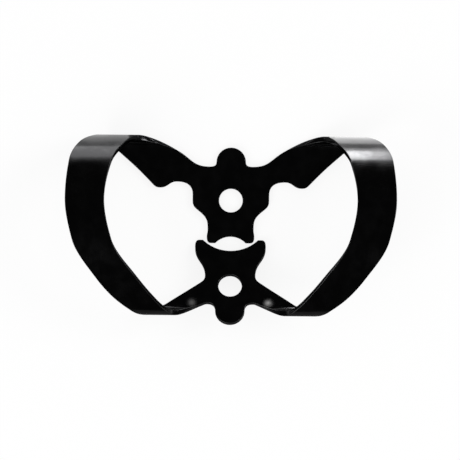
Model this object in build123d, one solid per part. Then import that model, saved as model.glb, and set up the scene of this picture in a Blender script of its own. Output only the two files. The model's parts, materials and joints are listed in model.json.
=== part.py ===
# A two-bow rubber dam clamp: one strip of spring steel, cut as a ring and folded.
# Millimetres. X runs across the two bows, Y from the front jaw to the rear jaw, Z up.
# The clamp lies on its flat rear jaw, with both bows arching over the tooth opening.
import os
from math import asin, atan2, cos, degrees, radians, sin, sqrt, tan

from build123d import *

# Sheet and overall form
sheet_thickness = 0.55
overall_width = 33.7
overall_height = 9.65
bow_radius = 9.2
fold_radius = 1.2
front_jaw_rise = 22.0
prong_line_to_bow_axis = 1.63

# Half spans of the strip's two edges along a bow, as shares of half the overall width,
# at stations that are shares of the way from the rear fold to the front fold
bow_station_shares = (0, 0.11, 0.25, 0.45, 0.63, 0.81, 0.92, 1)
bow_inner_shares = (0.565, 0.644, 0.722, 0.763, 0.719, 0.572, 0.477, 0.391)
bow_outer_shares = (0.822, 0.917, 0.978, 1, 0.957, 0.816, 0.715, 0.607)

# Arms where they meet the folds: half spans, and degrees each edge runs off fore-and-aft
rear_arm_inner_span = 5.6
rear_arm_outer_span = 11.75
rear_arm_inner_run = 62.5
rear_arm_outer_run = 49.0
front_arm_inner_span = 2.95
front_arm_outer_span = 6.58
front_arm_inner_run = 69.0
front_arm_outer_run = 55.0

# Forceps holes, measured along each jaw from the prong line
forceps_hole_diameter = 2.4
rear_hole_distance = 4.15
front_hole_distance = 4.95

# Round tabs beyond the holes, and the crotch between each tab and the arms
tab_half_width = 1.5
rear_tab_reach = 9.55
front_tab_reach = 9.1
rear_crotch_span = 2.24
rear_crotch_distance = 7.6
front_crotch_span = 2.3
front_crotch_distance = 6.85

# Rear jaw: bite, prongs, neck, shoulders, then the notch and lobe under each arm
rear_bite_distance = 0.46
rear_prong_overhang = 0.2
rear_prong_inner_span = 1.55
rear_prong_tip_span = 2.0
rear_prong_outer_span = 2.42
rear_prong_side_distance = 0.45
rear_neck_span = 2.34
rear_neck_distance = 1.15
rear_shoulder_start_span = 3.0
rear_shoulder_start_distance = 2.85
rear_shoulder_span = 3.9
rear_shoulder_distance = 4.15
rear_side_end_distance = 4.75
rear_notch_span = 5.5
rear_notch_distance = 6.04
rear_lobe_span = 7.2
rear_lobe_distance = 5.42
rear_lobe_end_span = 8.05
rear_lobe_end_distance = 5.84

# Front jaw: prongs spread wider than the rear pair, and a waist under the arms
front_bite_distance = 1.14
front_prong_overhang = 0.05
front_prong_inner_span = 2.8
front_prong_tip_span = 3.15
front_prong_outer_span = 3.6
front_prong_side_distance = 0.7
front_waist_span = 2.56
front_waist_distance = 3.8
front_arm_root_span = 3.16
front_arm_root_distance = 4.73

# Side view: the bow is round from the rear fold, then runs straight down to the front fold
half_sheet = sheet_thickness / 2
bow_line = bow_radius - half_sheet
bow_axis_height = overall_height - bow_radius
rise = radians(front_jaw_rise)
inside_reach = bow_line - fold_radius

rear_fold_drop = bow_axis_height - half_sheet - fold_radius
rear_fold_start = prong_line_to_bow_axis + sqrt(inside_reach**2 - rear_fold_drop**2)
rear_fold_turn = 90 - degrees(asin(rear_fold_drop / inside_reach))

# The front fold reaches as far forward as the bow's round would
front_fold_start = (inside_reach - prong_line_to_bow_axis + fold_radius * sin(rise)) / cos(rise)
front_fold_height = half_sheet + front_fold_start * sin(rise) + fold_radius * cos(rise)

# The leg is a tangent, so it is as long as the front fold is high above the bow's axis
leg_length = front_fold_height - bow_axis_height
bow_start = rear_fold_turn - 90
bow_end = 180 - 2 * degrees(atan2(leg_length, inside_reach))
bow_sweep = bow_end - bow_start
front_fold_turn = 270 - front_jaw_rise - bow_end


def on_rear_jaw(along, above):
    return along - prong_line_to_bow_axis, above


def on_front_jaw(along, above):
    lift = above - half_sheet
    return (
        lift * sin(rise) - along * cos(rise) - prong_line_to_bow_axis,
        half_sheet + along * sin(rise) + lift * cos(rise),
    )


def on_fold(jaw, fold_start, fold_turn):
    def place(share, lift):
        turn = radians(fold_turn * share)
        reach = fold_radius + lift
        centre_height = half_sheet + fold_radius
        return jaw(fold_start + reach * sin(turn), centre_height - reach * cos(turn))

    return place


def on_bow(share, lift):
    angle = radians(bow_start + bow_sweep * share)
    reach = bow_line + lift
    return reach * cos(angle), bow_axis_height + reach * sin(angle)


def on_leg(share, lift):
    depth, height = on_bow(1, lift)
    angle = radians(bow_end)
    run = leg_length * share
    return depth - run * sin(angle), height + run * cos(angle)


# Lengths along the middle of the sheet, from the start of the rear fold
rear_fold_length = fold_radius * radians(rear_fold_turn)
front_fold_length = fold_radius * radians(front_fold_turn)
bow_length = bow_line * radians(bow_sweep)
strip_stations = [
    0,
    *[rear_fold_length + (bow_length + leg_length) * share for share in bow_station_shares],
    rear_fold_length + bow_length + leg_length + front_fold_length,
]


def strip_edge(rear_span, bow_shares, front_span, rear_run, front_run):
    """Half span of one edge at any length along the strip, without overshoot between stations."""
    spans = [rear_span, *[share * overall_width / 2 for share in bow_shares], front_span]
    rises = [
        (after - before) / (end - start)
        for before, after, start, end in zip(spans, spans[1:], strip_stations, strip_stations[1:])
    ]
    slopes = [tan(radians(rear_run))]
    for before, after in zip(rises, rises[1:]):
        slopes.append(2 * before * after / (before + after) if before * after > 0 else 0)
    slopes.append(-tan(radians(front_run)))

    def span_at(length):
        last = len(rises) - 1
        index = max(i for i in range(last + 1) if i == 0 or length >= strip_stations[i])
        size = strip_stations[index + 1] - strip_stations[index]
        t = (length - strip_stations[index]) / size
        return (
            (2 * t**3 - 3 * t**2 + 1) * spans[index]
            + (t**3 - 2 * t**2 + t) * size * slopes[index]
            + (3 * t**2 - 2 * t**3) * spans[index + 1]
            + (t**3 - t**2) * size * slopes[index + 1]
        )

    return span_at


inner_edge = strip_edge(
    rear_arm_inner_span, bow_inner_shares, front_arm_inner_span, rear_arm_inner_run, front_arm_inner_run
)
outer_edge = strip_edge(
    rear_arm_outer_span, bow_outer_shares, front_arm_outer_span, rear_arm_outer_run, front_arm_outer_run
)


def strip(place, start, length, pieces):
    """One bent length of the right-hand strip, a solid between its two curved edges."""
    rails = []
    for edge, lift in (
        (inner_edge, -half_sheet),
        (outer_edge, -half_sheet),
        (outer_edge, half_sheet),
        (inner_edge, half_sheet),
    ):
        def rail_point(share):
            return Vector(edge(start + length * share), *place(share, lift))

        shares = [step / pieces for step in range(pieces + 1)]
        step_share = 1 / pieces**3
        rails.append(
            Edge.make_spline(
                [rail_point(share) for share in shares],
                tangents=[
                    (rail_point(step_share) - rail_point(0)) / step_share,
                    (rail_point(1) - rail_point(1 - step_share)) / step_share,
                ],
                parameters=shares,
                scale=False,
            )
        )
    faces = [
        Face.make_surface_from_curves(one, other)
        for one, other in zip(rails, rails[1:] + rails[:1])
    ]
    for end in (0, 1):
        faces.append(Face(Wire.make_polygon([rail @ end for rail in rails], close=True)))
    return Solid(Shell(faces))


rear_fold = on_fold(on_rear_jaw, rear_fold_start, rear_fold_turn)
front_fold = on_fold(on_front_jaw, front_fold_start, front_fold_turn)
right_strip = [
    strip(rear_fold, 0, rear_fold_length, 12),
    strip(on_bow, rear_fold_length, bow_length, 32),
    strip(on_leg, rear_fold_length + bow_length, leg_length, 8),
    strip(
        lambda share, lift: front_fold(1 - share, lift),
        rear_fold_length + bow_length + leg_length,
        front_fold_length,
        16,
    ),
]


def smooth(points, first, last):
    return Spline(*points, tangents=(first, last))


def jaw(right_side, bite_distance, hole_distance, tab_reach):
    """Flat jaw: the right side's outline mirrored, closed by the bite and the tab's round end."""
    prong_corner = right_side[0] @ 0
    tab_side = right_side[-1] @ 1
    bite = ThreePointArc(
        (-prong_corner.X, prong_corner.Y), (0, bite_distance), (prong_corner.X, prong_corner.Y)
    )
    tab_end = ThreePointArc((tab_side.X, tab_side.Y), (0, tab_reach), (-tab_side.X, tab_side.Y))
    outline = Curve() + right_side + [mirror(edge, Plane.YZ) for edge in right_side]
    outline += [bite, tab_end]
    return make_face(outline) - Pos(0, hole_distance) * Circle(forceps_hole_diameter / 2)


def run_heading(run, sense):
    return (sense * sin(radians(run)), sense * cos(radians(run)))


def fold_to_tab(fold_start, inner_span, outer_span, run, crotch, tab_reach):
    """From the arm's outer edge at the fold, across it, then round the crotch to the tab's side."""
    return [
        Line((outer_span, fold_start), (inner_span, fold_start)),
        smooth([(inner_span, fold_start), crotch], run_heading(run, -1), (-1, 0)),
        smooth([crotch, (tab_half_width, tab_reach - tab_half_width)], (-1, 0), (0, 1)),
    ]


# Rear jaw
rear_prong_corner = (rear_prong_inner_span, -rear_prong_overhang)
rear_prong_tip = (rear_prong_tip_span, -rear_prong_overhang)
rear_prong_side = (rear_prong_outer_span, rear_prong_side_distance)
rear_neck = (rear_neck_span, rear_neck_distance)
rear_shoulder_start = (rear_shoulder_start_span, rear_shoulder_start_distance)
rear_shoulder = (rear_shoulder_span, rear_shoulder_distance)
rear_side_end = (rear_shoulder_span, rear_side_end_distance)
rear_notch = (rear_notch_span, rear_notch_distance)
rear_lobe = (rear_lobe_span, rear_lobe_distance)
rear_lobe_end = (rear_lobe_end_span, rear_lobe_end_distance)
rear_arm_outer = (rear_arm_outer_span, rear_fold_start)
rear_side = [
    Line(rear_prong_corner, rear_prong_tip),
    smooth([rear_prong_tip, rear_prong_side], (1, 0), (0, 1)),
    smooth([rear_prong_side, rear_neck], (0, 1), (0, 1)),
    smooth([rear_neck, rear_shoulder_start, rear_shoulder], (0, 1), (0, 1)),
    Line(rear_shoulder, rear_side_end),
    smooth([rear_side_end, rear_notch], (0, 1), (1, 0)),
    smooth([rear_notch, rear_lobe], (1, 0), (1, 0)),
    smooth([rear_lobe, rear_lobe_end, rear_arm_outer], (1, 0), run_heading(rear_arm_outer_run, 1)),
    *fold_to_tab(
        rear_fold_start,
        rear_arm_inner_span,
        rear_arm_outer_span,
        rear_arm_inner_run,
        (rear_crotch_span, rear_crotch_distance),
        rear_tab_reach,
    ),
]
rear_plane = Plane(
    origin=(0, -prong_line_to_bow_axis, half_sheet), x_dir=(1, 0, 0), z_dir=(0, 0, 1)
)
rear_jaw = extrude(
    rear_plane * jaw(rear_side, rear_bite_distance, rear_hole_distance, rear_tab_reach),
    half_sheet,
    both=True,
)

# Front jaw
front_prong_corner = (front_prong_inner_span, -front_prong_overhang)
front_prong_tip = (front_prong_tip_span, -front_prong_overhang)
front_prong_side = (front_prong_outer_span, front_prong_side_distance)
front_waist = (front_waist_span, front_waist_distance)
front_arm_root = (front_arm_root_span, front_arm_root_distance)
front_arm_outer = (front_arm_outer_span, front_fold_start)
front_side = [
    Line(front_prong_corner, front_prong_tip),
    smooth([front_prong_tip, front_prong_side], (1, 0), (0, 1)),
    smooth([front_prong_side, front_waist], (0, 1), (0, 1)),
    smooth([front_waist, front_arm_root, front_arm_outer], (0, 1), run_heading(front_arm_outer_run, 1)),
    *fold_to_tab(
        front_fold_start,
        front_arm_inner_span,
        front_arm_outer_span,
        front_arm_inner_run,
        (front_crotch_span, front_crotch_distance),
        front_tab_reach,
    ),
]
front_plane = Plane(
    origin=(0, -prong_line_to_bow_axis, half_sheet),
    x_dir=(-1, 0, 0),
    z_dir=(0, sin(rise), cos(rise)),
)
front_jaw = extrude(
    front_plane * jaw(front_side, front_bite_distance, front_hole_distance, front_tab_reach),
    half_sheet,
    both=True,
)

# One solid, with the origin under the middle of its footprint
clamp = rear_jaw + front_jaw
for bent in right_strip:
    clamp += bent
    clamp += mirror(bent, Plane.YZ)
box = clamp.bounding_box()
clamp = Pos(-box.center().X, -box.center().Y, -box.min.Z) * clamp

os.makedirs("parts", exist_ok=True)
export_step(clamp, "parts/clamp.step")
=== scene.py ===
# Rubber dam clamp: a ring cut from spring steel sheet, tumbled, folded and finished gloss black.
import json
from math import asin, atan2, cos, degrees, pi, radians, sin, sqrt, tan

import bmesh
import bpy
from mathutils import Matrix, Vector


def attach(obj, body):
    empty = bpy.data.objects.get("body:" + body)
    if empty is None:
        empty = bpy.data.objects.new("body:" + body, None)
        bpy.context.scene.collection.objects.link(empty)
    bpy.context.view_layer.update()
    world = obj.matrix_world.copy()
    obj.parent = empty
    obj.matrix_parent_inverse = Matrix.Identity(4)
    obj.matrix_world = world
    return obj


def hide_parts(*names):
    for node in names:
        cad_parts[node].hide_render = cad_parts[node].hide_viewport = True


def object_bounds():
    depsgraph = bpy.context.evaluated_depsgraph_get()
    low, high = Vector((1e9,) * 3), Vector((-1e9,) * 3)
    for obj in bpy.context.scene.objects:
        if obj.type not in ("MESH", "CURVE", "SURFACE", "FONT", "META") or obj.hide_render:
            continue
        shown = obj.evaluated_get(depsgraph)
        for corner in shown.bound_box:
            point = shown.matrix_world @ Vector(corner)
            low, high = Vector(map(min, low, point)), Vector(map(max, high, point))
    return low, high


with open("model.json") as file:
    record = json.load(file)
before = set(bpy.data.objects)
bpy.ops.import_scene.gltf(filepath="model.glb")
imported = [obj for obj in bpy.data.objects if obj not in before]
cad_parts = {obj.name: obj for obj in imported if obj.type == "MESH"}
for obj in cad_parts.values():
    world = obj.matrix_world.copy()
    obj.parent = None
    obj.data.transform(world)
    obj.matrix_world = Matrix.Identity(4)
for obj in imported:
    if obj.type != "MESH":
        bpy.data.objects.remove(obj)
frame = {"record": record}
cadLow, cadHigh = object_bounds()
mm = 0.001
tiny = 0.001 * mm  # closer than this, two points are one
up = (0, 0, 1)
white = (1, 1, 1, 1)
mounts = {mount["name"]: mount for mount in frame["record"]["mounts"]}
print("frame loaded:", [round(size / mm, 2) for size in cadHigh - cadLow], "mm")


# Shader maths as plain expressions: a socket that takes + - * with sockets or numbers
class Wire:
    def __init__(self, finish, socket):
        self.finish, self.socket = finish, socket

    def __add__(self, other):
        return self.finish.maths("ADD", self, other)

    def __sub__(self, other):
        return self.finish.maths("SUBTRACT", self, other)

    def __rsub__(self, other):
        return self.finish.maths("SUBTRACT", other, self)

    def __mul__(self, other):
        return self.finish.maths("MULTIPLY", self, other)

    __radd__, __rmul__ = __add__, __mul__


# One material's node tree: every node is a type, its settings, and the values or links of its inputs
class Finish:
    def __init__(self, owner):
        owner.use_nodes = True
        self.tree = owner.node_tree
        self.tree.nodes.clear()

    def node(self, kind, settings=None, inputs=None, output=0):
        made = self.tree.nodes.new(kind)
        for name, value in (settings or {}).items():
            setattr(made, name, value)
        for name, value in (inputs or {}).items():
            if isinstance(value, Wire):
                self.tree.links.new(value.socket, made.inputs[name])
            else:
                made.inputs[name].default_value = value
        return Wire(self, made.outputs[output] if made.outputs else None)

    def maths(self, operation, *values):
        return self.node("ShaderNodeMath", {"operation": operation}, dict(enumerate(values)))

    def reach(self, across, along):
        return self.maths("SQRT", across * across + along * along)

    def axes(self, vector):
        parts = self.node("ShaderNodeSeparateXYZ", {}, {"Vector": vector}).socket.node
        return [Wire(self, axis) for axis in parts.outputs]

    def step(self, value, low, high, start=0.0, end=1.0):
        return self.node(
            "ShaderNodeMapRange",
            {"interpolation_type": "SMOOTHSTEP", "clamp": True},
            {"Value": value, "From Min": low, "From Max": high, "To Min": start, "To Max": end},
        )

    def noise(self, vector, size, detail, roughness):
        return self.node(
            "ShaderNodeTexNoise",
            {"noise_dimensions": "3D"},
            {"Vector": vector, "Scale": 1 / size, "Detail": detail, "Roughness": roughness},
        )

    def mixColour(self, factor, first, second):
        inputs = {0: factor, 6: first, 7: second}
        return self.node("ShaderNodeMix", {"data_type": "RGBA"}, inputs, output=2)

    def mixShader(self, factor, first, second):
        return self.node("ShaderNodeMixShader", {}, {0: factor, 1: first, 2: second})


# The clamp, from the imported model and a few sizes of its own, in millimetres and degrees
rearMount, frontMount = mounts["rear_forceps_hole"], mounts["front_forceps_hole"]
clamp = {
    "sheet": rearMount["dims"]["length_mm"],
    "holeRadius": rearMount["dims"]["r_mm"],
    "rise": atan2(frontMount["axis"][1], frontMount["axis"][2]),  # the front jaw's slope, radians
    "halfWidth": cadHigh.x / mm,
    "height": cadHigh.z / mm,
    "bowRadius": 9.2,
    "foldRadius": 1.2,
    "prongsToBowAxis": 1.63,
    "edgeRound": 0.06,
    "edgeSegments": 3,
    "rimAngle": 60,  # edges sharper than this are rims
    "creaseAngle": 40,  # edges sharper than this aren't shaded smooth
    "curvePoints": 12,  # on each curved stroke of the outline
    "handleShare": 0.457,  # handle over chord, on a stroke with both headings given
    # The strip's edges on the bow, at shares of its length and as shares of the half width
    "stationShares": (0, 0.11, 0.25, 0.45, 0.63, 0.81, 0.92, 1),
    "innerShares": (0.565, 0.644, 0.722, 0.763, 0.719, 0.572, 0.477, 0.391),
    "outerShares": (0.822, 0.917, 0.978, 1, 0.957, 0.816, 0.715, 0.607),
}

# Each stroke of a jaw's right side: the point it reaches (across, along from the prong line),
# then its headings at start and end. With no heading it is straight, with one it is an arc.
rearJaw = {
    "holeAlong": 4.15,
    "biteAlong": 0.46,
    "outerSide": [
        (1.55, -0.20, 0, None),
        (2.00, -0.20, None, None),
        (2.42, 0.45, 0, 90),
        (2.34, 1.15, 90, 90),
        (3.00, 2.85, 90, 42),
        (3.90, 4.15, 42, 90),
        (3.90, 4.75, None, None),
        (5.50, 6.04, 90, 0),
        (7.20, 5.42, 0, 0),
        (8.05, 5.84, 0, 46),
    ],
    # Half span and heading of the arm's two edges where it meets the fold
    "armOuter": (11.75, 41),
    "armInner": (5.60, 27.5),
    "tabSide": [
        (2.24, 7.60, None, 180),
        (1.50, 8.05, 180, 90),
        (0.00, 9.55, 90, None),
    ],
}
frontJaw = {
    "holeAlong": 4.95,
    "biteAlong": 1.14,
    "outerSide": [
        (2.80, -0.05, 0, None),
        (3.15, -0.05, None, None),
        (3.60, 0.70, 0, 90),
        (2.56, 3.80, 90, 90),
        (3.16, 4.73, 90, 35),
    ],
    "armOuter": (6.58, 35),
    "armInner": (2.95, 21),
    "tabSide": [
        (2.30, 6.85, None, 180),
        (1.50, 7.60, 180, 90),
        (0.00, 9.10, 90, None),
    ],
}
tabLimit = max(jaw["tabSide"][0][0] for jaw in (rearJaw, frontJaw))  # the strip lies outside this

# Side view: flat rear jaw, fold, round bow, straight leg as its tangent, fold, rising front jaw
half = clamp["sheet"] / 2
bowLine = clamp["bowRadius"] - half
axisHeight = clamp["height"] - clamp["bowRadius"]
insideReach = bowLine - clamp["foldRadius"]
prongLine = rearMount["pos_m"][1] / mm - rearJaw["holeAlong"]
rearDrop = axisHeight - half - clamp["foldRadius"]
rearFoldAlong = clamp["prongsToBowAxis"] + sqrt(insideReach**2 - rearDrop**2)
frontFoldAlong = (
    insideReach - clamp["prongsToBowAxis"] + clamp["foldRadius"] * sin(clamp["rise"])
) / cos(clamp["rise"])
frontFoldHeight = (
    half + frontFoldAlong * sin(clamp["rise"]) + clamp["foldRadius"] * cos(clamp["rise"])
)
legLength = frontFoldHeight - axisHeight
rearFoldTurn = pi / 2 - asin(rearDrop / insideReach)
bowEnd = pi - 2 * atan2(legLength, insideReach)
bowTurn = bowEnd - (rearFoldTurn - pi / 2)
frontFoldTurn = 3 * pi / 2 - clamp["rise"] - bowEnd

# What the strip does from jaw to jaw: length of its middle line and the angle it turns
bends = [
    (clamp["foldRadius"] * rearFoldTurn, rearFoldTurn),
    (bowLine * bowTurn, bowTurn),
    (legLength, 0),
    (clamp["foldRadius"] * frontFoldTurn, frontFoldTurn),
]
stripLength = sum(length for length, turn in bends)


# The folded sheet's middle line at a length along the strip: depth, height and heading
def onStrip(along):
    depth, height, heading = prongLine + rearFoldAlong, half, 0
    for length, turn in bends:
        part = min(max(along, 0), length)
        swing = turn * part / length
        straight = part if turn == 0 else 2 * length / turn * sin(swing / 2)
        depth += straight * cos(heading + swing / 2)
        height += straight * sin(heading + swing / 2)
        heading += swing
        along -= part
    return depth, height, heading


def onRearJaw(along):
    return prongLine + rearFoldAlong + along, half, 0


def onFrontJaw(along):
    depth, height, heading = onStrip(stripLength)
    beyond = along - stripLength
    return depth + beyond * cos(heading), height + beyond * sin(heading), heading


# A jaw's lengths as lengths on the flat blank, where the strip starts at 0
def rearOnBlank(along):
    return along - rearFoldAlong


def frontOnBlank(along):
    return stripLength + frontFoldAlong - along


# Flat outline, as curve strokes of four points: start, two handles, end
def stroke(start, end, leaving=None, arriving=None):
    start, end = Vector(start), Vector(end)
    chord = end - start
    if leaving is None:
        return [start, None, None, end]
    pull = clamp["handleShare"] * chord.length
    if arriving is None:  # an arc, whose handles follow from the angle it turns
        swing = 2 * (atan2(chord.y, chord.x) - radians(leaving))
        pull = 2 / 3 * chord.length * tan(swing / 4) / sin(swing / 2)
        arriving = leaving + degrees(swing)
    leave = Vector((cos(radians(leaving)), sin(radians(leaving))))
    arrive = Vector((cos(radians(arriving)), sin(radians(arriving))))
    return [start, start + leave * pull, end - arrive * pull, end]


def strokesThrough(start, steps):
    strokes = []
    for across, along, leaving, arriving in steps:
        strokes.append(stroke(start, (across, along), leaving, arriving))
        start = (across, along)
    return strokes


def reverse(strokes):
    return [line[::-1] for line in reversed(strokes)]


# A jaw's right half in three runs: outer side, inner side, and the middle line round the hole
def jawStrokes(jaw, foldAlong, onBlank):
    outerSpan, outerHeading = jaw["armOuter"]
    innerSpan, innerHeading = jaw["armInner"]
    radius = clamp["holeRadius"]
    hole = jaw["holeAlong"]
    tabEnd = jaw["tabSide"][-1][1]
    lastHeading = jaw["outerSide"][-1][3]
    outer = strokesThrough(
        (0, jaw["biteAlong"]),
        [*jaw["outerSide"], (outerSpan, foldAlong, lastHeading, outerHeading)],
    )
    crotch, *rest = jaw["tabSide"]
    inner = strokesThrough(
        (innerSpan, foldAlong), [(crotch[0], crotch[1], innerHeading - 180, crotch[3]), *rest]
    )
    middle = strokesThrough(
        (0, tabEnd),
        [
            (0, hole + radius, None, None),
            (radius, hole, 0, None),
            (0, hole - radius, -90, None),
            (0, jaw["biteAlong"], None, None),
        ],
    )
    return [
        [[point and Vector((point.x, onBlank(point.y))) for point in line] for line in strokes]
        for strokes in (outer, inner, middle)
    ]


# One edge of the strip: it passes the stations without overshoot, its handles a third of the way
def edgeStrokes(rearArm, shares, frontArm):
    rearSpan, rearHeading = rearArm
    frontSpan, frontHeading = frontArm
    bowStart, bowLength = bends[0][0], bends[1][0] + bends[2][0]
    stations = [bowStart + bowLength * share for share in clamp["stationShares"]]
    alongs = [0, *stations, stripLength]
    spans = [rearSpan, *[share * clamp["halfWidth"] for share in shares], frontSpan]
    rises = [
        (spans[i + 1] - spans[i]) / (alongs[i + 1] - alongs[i]) for i in range(len(spans) - 1)
    ]
    slopes = [1 / tan(radians(rearHeading))]
    for before, after in zip(rises, rises[1:]):
        slopes.append(2 * before * after / (before + after) if before * after > 0 else 0)
    slopes.append(-1 / tan(radians(frontHeading)))
    strokes = []
    for i in range(len(rises)):
        third = (alongs[i + 1] - alongs[i]) / 3
        strokes.append([
            Vector((spans[i], alongs[i])),
            Vector((spans[i] + slopes[i] * third, alongs[i] + third)),
            Vector((spans[i + 1] - slopes[i + 1] * third, alongs[i + 1] - third)),
            Vector((spans[i + 1], alongs[i + 1])),
        ])
    return strokes


# Right half of the flat blank, drawn as one closed curve and filled
def drawBlank():
    rearOuter, rearInner, rearMiddle = jawStrokes(rearJaw, rearFoldAlong, rearOnBlank)
    frontOuter, frontInner, frontMiddle = jawStrokes(frontJaw, frontFoldAlong, frontOnBlank)
    stripOuter = edgeStrokes(rearJaw["armOuter"], clamp["outerShares"], frontJaw["armOuter"])
    stripInner = edgeStrokes(rearJaw["armInner"], clamp["innerShares"], frontJaw["armInner"])
    outline = [
        *rearOuter, *stripOuter, *reverse(frontOuter), *reverse(frontMiddle),
        *reverse(frontInner), *reverse(stripInner), *rearInner, *rearMiddle,
    ]
    drawing = bpy.data.curves.new("blankOutline", "CURVE")
    drawing.dimensions = "2D"
    drawing.fill_mode = "NONE"
    drawing.resolution_u = clamp["curvePoints"]
    line = drawing.splines.new("BEZIER")
    line.bezier_points.add(len(outline) - 1)
    line.use_cyclic_u = True
    for point, before, after in zip(line.bezier_points, [outline[-1], *outline], outline):
        point.handle_left_type = "FREE" if before[2] else "VECTOR"
        point.handle_right_type = "FREE" if after[1] else "VECTOR"
        point.co = (*after[0] * mm, 0)
        if before[2]:
            point.handle_left = (*before[2] * mm, 0)
        if after[1]:
            point.handle_right = (*after[1] * mm, 0)
    holder = bpy.data.objects.new("blankOutline", drawing)
    bm = bmesh.new()
    bm.from_mesh(holder.to_mesh())
    bpy.data.objects.remove(holder)
    bpy.data.curves.remove(drawing)
    bmesh.ops.remove_doubles(bm, verts=bm.verts, dist=tiny)
    bmesh.ops.contextual_create(bm, geom=bm.edges[:])
    print("blank drawn:", len(bm.verts), "points,", len(bm.faces), "face")
    return bm


# Rulings straight across the strip, so that it can bend between them
def ruleStrip(bm):
    inside, start, end = tabLimit * mm, -tiny, stripLength * mm + tiny
    onEdges = [v for v in bm.verts if v.co.x > inside and start < v.co.y < end]
    onEdges.sort(key=lambda v: v.co.y)
    pairs = [
        (one, other) for one, other in zip(onEdges, onEdges[1:])
        if abs(one.co.y - other.co.y) < tiny
    ]
    for pair in pairs:
        bmesh.ops.connect_verts(bm, verts=list(pair))
    print("rulings:", len(pairs), "faces:", len(bm.faces))


# The sheet's thickness, then the left half
def thicken(bm):
    for v in bm.verts:
        v.co.z = -half * mm
    grown = bmesh.ops.extrude_face_region(bm, geom=bm.faces[:], use_keep_orig=True)
    raised = [piece for piece in grown["geom"] if isinstance(piece, bmesh.types.BMVert)]
    bmesh.ops.translate(bm, verts=raised, vec=(0, 0, clamp["sheet"] * mm))
    onMiddle = [f for f in bm.faces if all(abs(v.co.x) < tiny for v in f.verts)]
    bmesh.ops.delete(bm, geom=onMiddle, context="FACES")
    everything = bm.verts[:] + bm.edges[:] + bm.faces[:]
    bmesh.ops.mirror(bm, geom=everything, merge_dist=tiny, axis="X")
    bmesh.ops.remove_doubles(bm, verts=bm.verts, dist=tiny)
    bmesh.ops.recalc_face_normals(bm, faces=bm.faces)


# Tumbled rims, top and bottom. The finish follows two layers that are noted here, before the
# sheet is folded: the place on the flat blank, and what is rim.
def roundRims(bm):
    sharpest = radians(clamp["rimAngle"])
    rims = [
        edge for edge in bm.edges
        if len(edge.link_faces) == 2 and edge.calc_face_angle() > sharpest
    ]
    rounded = bmesh.ops.bevel(
        bm,
        geom=rims,
        offset=clamp["edgeRound"] * mm,
        offset_type="OFFSET",
        affect="EDGES",
        segments=clamp["edgeSegments"],
        profile=0.5,
        material=-1,
        clamp_overlap=False,
    )
    blank = bm.verts.layers.float_vector.new("blank")
    rim = bm.verts.layers.float.new("rim")
    roundFaces = set(rounded["faces"])
    for v in bm.verts:
        v[blank] = v.co
        v[rim] = 1.0 if all(face in roundFaces for face in v.link_faces) else 0.0
    print("rims rounded:", len(rims), "edges")


# The strip follows its bends, and the jaws with their tabs stay flat
def fold(bm):
    for v in bm.verts:
        along, lift = v.co.y / mm, v.co.z / mm
        if abs(v.co.x) > tabLimit * mm and 0 < along < stripLength:
            depth, height, heading = onStrip(along)
        elif along < stripLength / 2:
            depth, height, heading = onRearJaw(along)
        else:
            depth, height, heading = onFrontJaw(along)
        v.co.y = (depth + lift * sin(heading)) * mm
        v.co.z = (height - lift * cos(heading)) * mm
    bmesh.ops.recalc_face_normals(bm, faces=bm.faces)


def buildClamp():
    bm = drawBlank()
    ruleStrip(bm)
    thicken(bm)
    roundRims(bm)
    fold(bm)
    mesh = bpy.data.meshes.new("clampSheet")
    bm.to_mesh(mesh)
    openEdges = sum(1 for edge in bm.edges if len(edge.link_faces) != 2)
    bm.free()
    mesh.shade_smooth()
    mesh.set_sharp_from_angle(angle=radians(clamp["creaseAngle"]))
    piece = bpy.data.objects.new("clampSheet", mesh)
    bpy.context.scene.collection.objects.link(piece)
    smoothing = piece.modifiers.new("flatFacesFirst", "WEIGHTED_NORMAL")
    smoothing.keep_sharp = True
    print("clamp folded:", len(mesh.polygons), "faces, open edges:", openEdges)
    return piece


# Gloss black over steel: fine polishing lines along the strip, clouds of softer gloss, patches of
# thinner coat, wear on the rims and round the holes, and two painted highlights on the front arms
glossBlack = {
    "coat": (0.062, 0.062, 0.064, 1),
    "thinCoat": (0.085, 0.085, 0.087, 1),
    "wornCoat": (0.13, 0.13, 0.133, 1),
    "bareSteel": (0.80, 0.79, 0.78, 1),
    # Each pattern: its size, detail and roughness
    "lines": (0.035 * mm, 2.0, 0.6),
    "clouds": (2.6 * mm, 3.0, 0.55),
    "grain": (2.6 / 6 * mm, 2.0, 0.5),  # a sixth of the clouds, to break up what they do
    "patches": (1.3 * mm, 4.0, 0.6),
    "lineStretch": 60,
    # The levels of its pattern between which each change comes in
    "thinnedBetween": (0.38, 0.66),
    "softenedBetween": (0.35, 0.7),
    "wornBetween": (0.72, 1.0),
    "rubbedBetween": (0.45, 0.75),
    # Roughness of the sound coat, then what each change adds to it
    "roughness": 0.15,
    "cloudRoughness": 0.06,
    "lineRoughness": 0.12,
    "rimRoughness": 0.3,
    "rubbedRoughness": 0.5,
    # Relief: only lines too fine to see as a shape
    "reliefStrength": 0.10,
    "reliefDepth": 0.004 * mm,
    "cloudRelief": 0.3,
    # Wear on the rims, and scuffs that reach this far round a hole
    "rimWear": 0.55,
    "holeWear": 0.4,
    "holeWearReach": 0.55 * mm,
    "grainInWear": 0.6,
    # Painted highlights on the front arms: grey spots of dull steel colour where the arms start to
    # fold, the right one brighter than the left
    "markAcross": 3.90 * mm,
    "markAlong": 6.88,
    "markRadius": 0.72 * mm,
    "leftMark": 0.5,
    "rightMark": 0.97,
    "leastMark": 0.7,  # where the painted highlight is faintest
    "markDullness": 0.23,
    "grainInMarks": 0.5,
}


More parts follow.
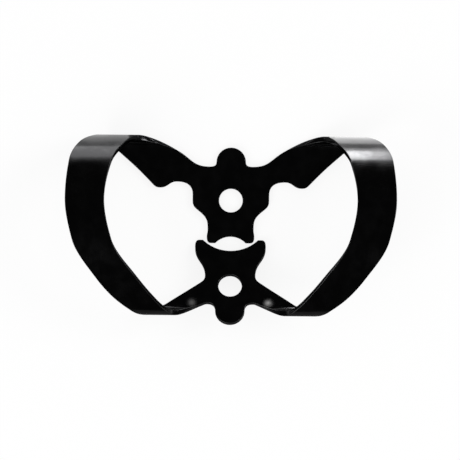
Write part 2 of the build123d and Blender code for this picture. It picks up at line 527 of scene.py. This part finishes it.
def paintSteel():
    material = bpy.data.materials.new("glossBlackSteel")
    finish = Finish(material)
    place = finish.node("ShaderNodeAttribute", {"attribute_name": "blank"}, output="Vector")
    rim = finish.node("ShaderNodeAttribute", {"attribute_name": "rim"}, output="Fac")
    across, along = finish.axes(place)[:2]
    stretch = (1, 1 / glossBlack["lineStretch"], 1)
    stretched = finish.node("ShaderNodeMapping", {}, {"Vector": place, "Scale": stretch})
    lines = finish.noise(stretched, *glossBlack["lines"])
    clouds = finish.noise(place, *glossBlack["clouds"])
    grain = finish.noise(place, *glossBlack["grain"])
    patches = finish.noise(place, *glossBlack["patches"])

    radius = clamp["holeRadius"] * mm
    scuffEnd = radius + glossBlack["holeWearReach"]
    scuffed = 0
    for hole in (rearOnBlank(rearJaw["holeAlong"]), frontOnBlank(frontJaw["holeAlong"])):
        fromHole = finish.reach(across, along - hole * mm)
        scuffed = scuffed + finish.step(fromHole, radius, scuffEnd, 1.0, 0.0)
    wear = finish.step(clouds + grain * glossBlack["grainInWear"], *glossBlack["wornBetween"])
    worn = (rim * glossBlack["rimWear"] + scuffed * glossBlack["holeWear"]) * wear

    # Painted highlights: two grey spots on the front arms, the right one brighter, standing in for
    # light caught where the arms start to fold
    markAcross = glossBlack["markAcross"]
    fromHighlight = finish.reach(
        finish.maths("ABSOLUTE", across) - markAcross,
        along - frontOnBlank(glossBlack["markAlong"]) * mm,
    )
    inHighlight = finish.step(fromHighlight, 0.0, glossBlack["markRadius"], 1.0, 0.0)
    uneven = clouds + grain * glossBlack["grainInMarks"]
    paintedHighlight = inHighlight * finish.step(
        uneven, *glossBlack["rubbedBetween"], glossBlack["leastMark"], 1.0
    )
    sides = glossBlack["leftMark"], glossBlack["rightMark"]
    paintedHighlight = paintedHighlight * finish.step(across, -markAcross, markAcross, *sides)

    thinned = finish.step(patches, *glossBlack["thinnedBetween"])
    colour = finish.mixColour(thinned, glossBlack["coat"], glossBlack["thinCoat"])
    colour = finish.mixColour(worn, colour, glossBlack["wornCoat"])
    # The painted highlights: grey steel colour mixed in at the two spots
    colour = finish.mixColour(paintedHighlight, colour, glossBlack["bareSteel"])
    softened = finish.step(clouds, *glossBlack["softenedBetween"])
    roughness = glossBlack["roughness"] + softened * glossBlack["cloudRoughness"]
    roughness = roughness + (lines - 0.5) * glossBlack["lineRoughness"]
    roughness = roughness + rim * glossBlack["rimRoughness"]
    roughness = roughness + paintedHighlight * glossBlack["rubbedRoughness"]
    relief = finish.node(
        "ShaderNodeBump",
        {},
        {
            "Strength": glossBlack["reliefStrength"],
            "Distance": glossBlack["reliefDepth"],
            "Height": lines + clouds * glossBlack["cloudRelief"],
        },
    )
    shader = finish.node(
        "ShaderNodeBsdfPrincipled",
        {},
        {
            "Base Color": colour,
            "Metallic": 1 - paintedHighlight * glossBlack["markDullness"],
            "Roughness": roughness,
            "Normal": relief,
        },
    )
    finish.node("ShaderNodeOutputMaterial", {}, {"Surface": shader})
    print("steel painted")
    return material


# Pale table: to the camera it is mostly plain white, so that shadows stay faint. In the metal it
# is dimmer, and from the rear folds forward nearly black, as if a dark card lay there. Between the
# bows the card reaches further back.
table = {
    "reach": 1600 * mm,
    "gap": 0.01 * mm,  # under the clamp
    "colour": (0.86, 0.86, 0.86, 1),
    "black": (0.01, 0.01, 0.01, 1),
    "plainWhite": 0.85,
    "darkFrom": 9.5 * mm,
    "darkTo": 6.5 * mm,
    "darkInFront": 0.88,
    "darkBehind": 0.35,
    "tongueFrom": 9.9 * mm,
    "tongueTo": 10.9 * mm,
    "tongueReach": 8 * mm,
}


def layTable():
    bm = bmesh.new()
    bmesh.ops.create_grid(bm, x_segments=1, y_segments=1, size=table["reach"])
    mesh = bpy.data.meshes.new("table")
    bm.to_mesh(mesh)
    bm.free()
    floor = bpy.data.objects.new("table", mesh)
    bpy.context.scene.collection.objects.link(floor)
    floor.location.z = cadLow.z - table["gap"]
    material = bpy.data.materials.new("paleTable")
    finish = Finish(material)
    lit = finish.node("ShaderNodeBsdfDiffuse", {}, {"Color": table["colour"]})
    dark = finish.node("ShaderNodeBsdfDiffuse", {}, {"Color": table["black"]})
    plain = finish.node("ShaderNodeEmission", {}, {"Color": white, "Strength": 1.0})
    seenByCamera = finish.node("ShaderNodeLightPath", output="Is Camera Ray")
    seenInGloss = finish.node("ShaderNodeLightPath", output="Is Glossy Ray")
    across, depth = finish.axes(finish.node("ShaderNodeTexCoord", output="Object"))[:2]
    beside = finish.maths("ABSOLUTE", across)
    depth = depth - finish.step(
        beside, table["tongueFrom"], table["tongueTo"], table["tongueReach"], 0.0
    )
    dimming = finish.step(
        depth, table["darkTo"], table["darkFrom"], table["darkInFront"], table["darkBehind"]
    )
    surface = finish.mixShader(seenInGloss * dimming, lit, dark)
    shader = finish.mixShader(seenByCamera * table["plainWhite"], surface, plain)
    finish.node("ShaderNodeOutputMaterial", {}, {"Surface": shader})
    mesh.materials.append(material)
    print("table laid")


# The room: white to the camera, a soft fill on the table, and dark in the metal's reflections
room = {"fill": 0.79, "reflected": 0.02, "toCamera": 1.0}


def lightRoom():
    world = bpy.data.worlds.new("room")
    bpy.context.scene.world = world
    finish = Finish(world)
    seenByCamera = finish.node("ShaderNodeLightPath", output="Is Camera Ray")
    seenInGloss = finish.node("ShaderNodeLightPath", output="Is Glossy Ray")
    fill, dark, pale = [
        finish.node("ShaderNodeBackground", {}, {"Color": white, "Strength": room[name]})
        for name in ("fill", "reflected", "toCamera")
    ]
    seen = finish.mixShader(seenByCamera, finish.mixShader(seenInGloss, fill, dark), pale)
    finish.node("ShaderNodeOutputWorld", {}, {"Surface": seen})


# Lamps: place and size in millimetres, the way they face, and how bright each looks beside the
# white table. One soft box stands at the front left and one at the right rear. The glows lie on the
# table behind the bows and give the rear bends their bands of sheen, the right bend more than the
# left.
lamps = {
    "mainBox": {
        "place": (-300, -330, 330), "facing": (300, 330, -330), "size": (280, 220), "glow": 5.0
    },
    "sideBox": {
        "place": (380, 120, 330), "facing": (-380, -120, -330), "size": (240, 220), "glow": 5.0
    },
    "leftNear": {"place": (-14.2, 11.6, 0.1), "facing": up, "size": (7.6, 3.6), "glow": 0.25},
    "leftFar": {"place": (-13, 46, 0.1), "facing": up, "size": (14, 57), "glow": 1.25},
    "rightNear": {"place": (14, 11.6, 0.1), "facing": up, "size": (8, 3.6), "glow": 1.4},
    "rightRise": {"place": (13, 19.1, 0.1), "facing": up, "size": (9, 3.8), "glow": 1.9},
    "rightFar": {"place": (11.3, 49, 0.1), "facing": up, "size": (6, 56), "glow": 11},
    "rightEnd": {"place": (15.9, 49, 0.1), "facing": up, "size": (3.2, 56), "glow": 5},
}


def hangLamps():
    for name, lamp in lamps.items():
        light = bpy.data.lights.new(name, "AREA")
        light.shape = "RECTANGLE"
        light.size, light.size_y = [side * mm for side in lamp["size"]]
        light.energy = lamp["glow"] * pi * light.size * light.size_y
        holder = bpy.data.objects.new(name, light)
        holder.location = Vector(lamp["place"]) * mm
        holder.rotation_euler = Vector(lamp["facing"]).to_track_quat("-Z", "Y").to_euler()
        holder.visible_camera = False
        bpy.context.scene.collection.objects.link(holder)
    print("lamps hung:", len(lamps))


# Straight above and far away, rolled a little, in millimetres and degrees. The frame's width is
# measured at the focus height, near the middle of the clamp's own.
lens = {
    "distance": 1560,
    "acrossFrame": 46.72,
    "centre": (-0.06, 0.04),
    "focusHeight": 6.5,
    "roll": 0.55,
    "sensor": 36,
    "nearest": 100,
    "farthest": 10000,
}


def placeCamera():
    view = bpy.data.cameras.new("camera")
    view.sensor_width = lens["sensor"]
    view.lens = view.sensor_width * lens["distance"] / lens["acrossFrame"]
    view.clip_start, view.clip_end = lens["nearest"] * mm, lens["farthest"] * mm
    holder = bpy.data.objects.new("camera", view)
    holder.location = Vector((*lens["centre"], lens["distance"] + lens["focusHeight"])) * mm
    holder.rotation_euler.z = radians(lens["roll"])
    bpy.context.scene.collection.objects.link(holder)
    bpy.context.scene.camera = holder


sheetPiece = buildClamp()
sheetPiece.data.materials.append(paintSteel())
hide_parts("clamp")
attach(sheetPiece, "root")
layTable()
lightRoom()
hangLamps()
placeCamera()
bpy.context.scene.view_settings.view_transform = "Standard"
print("scene ready")
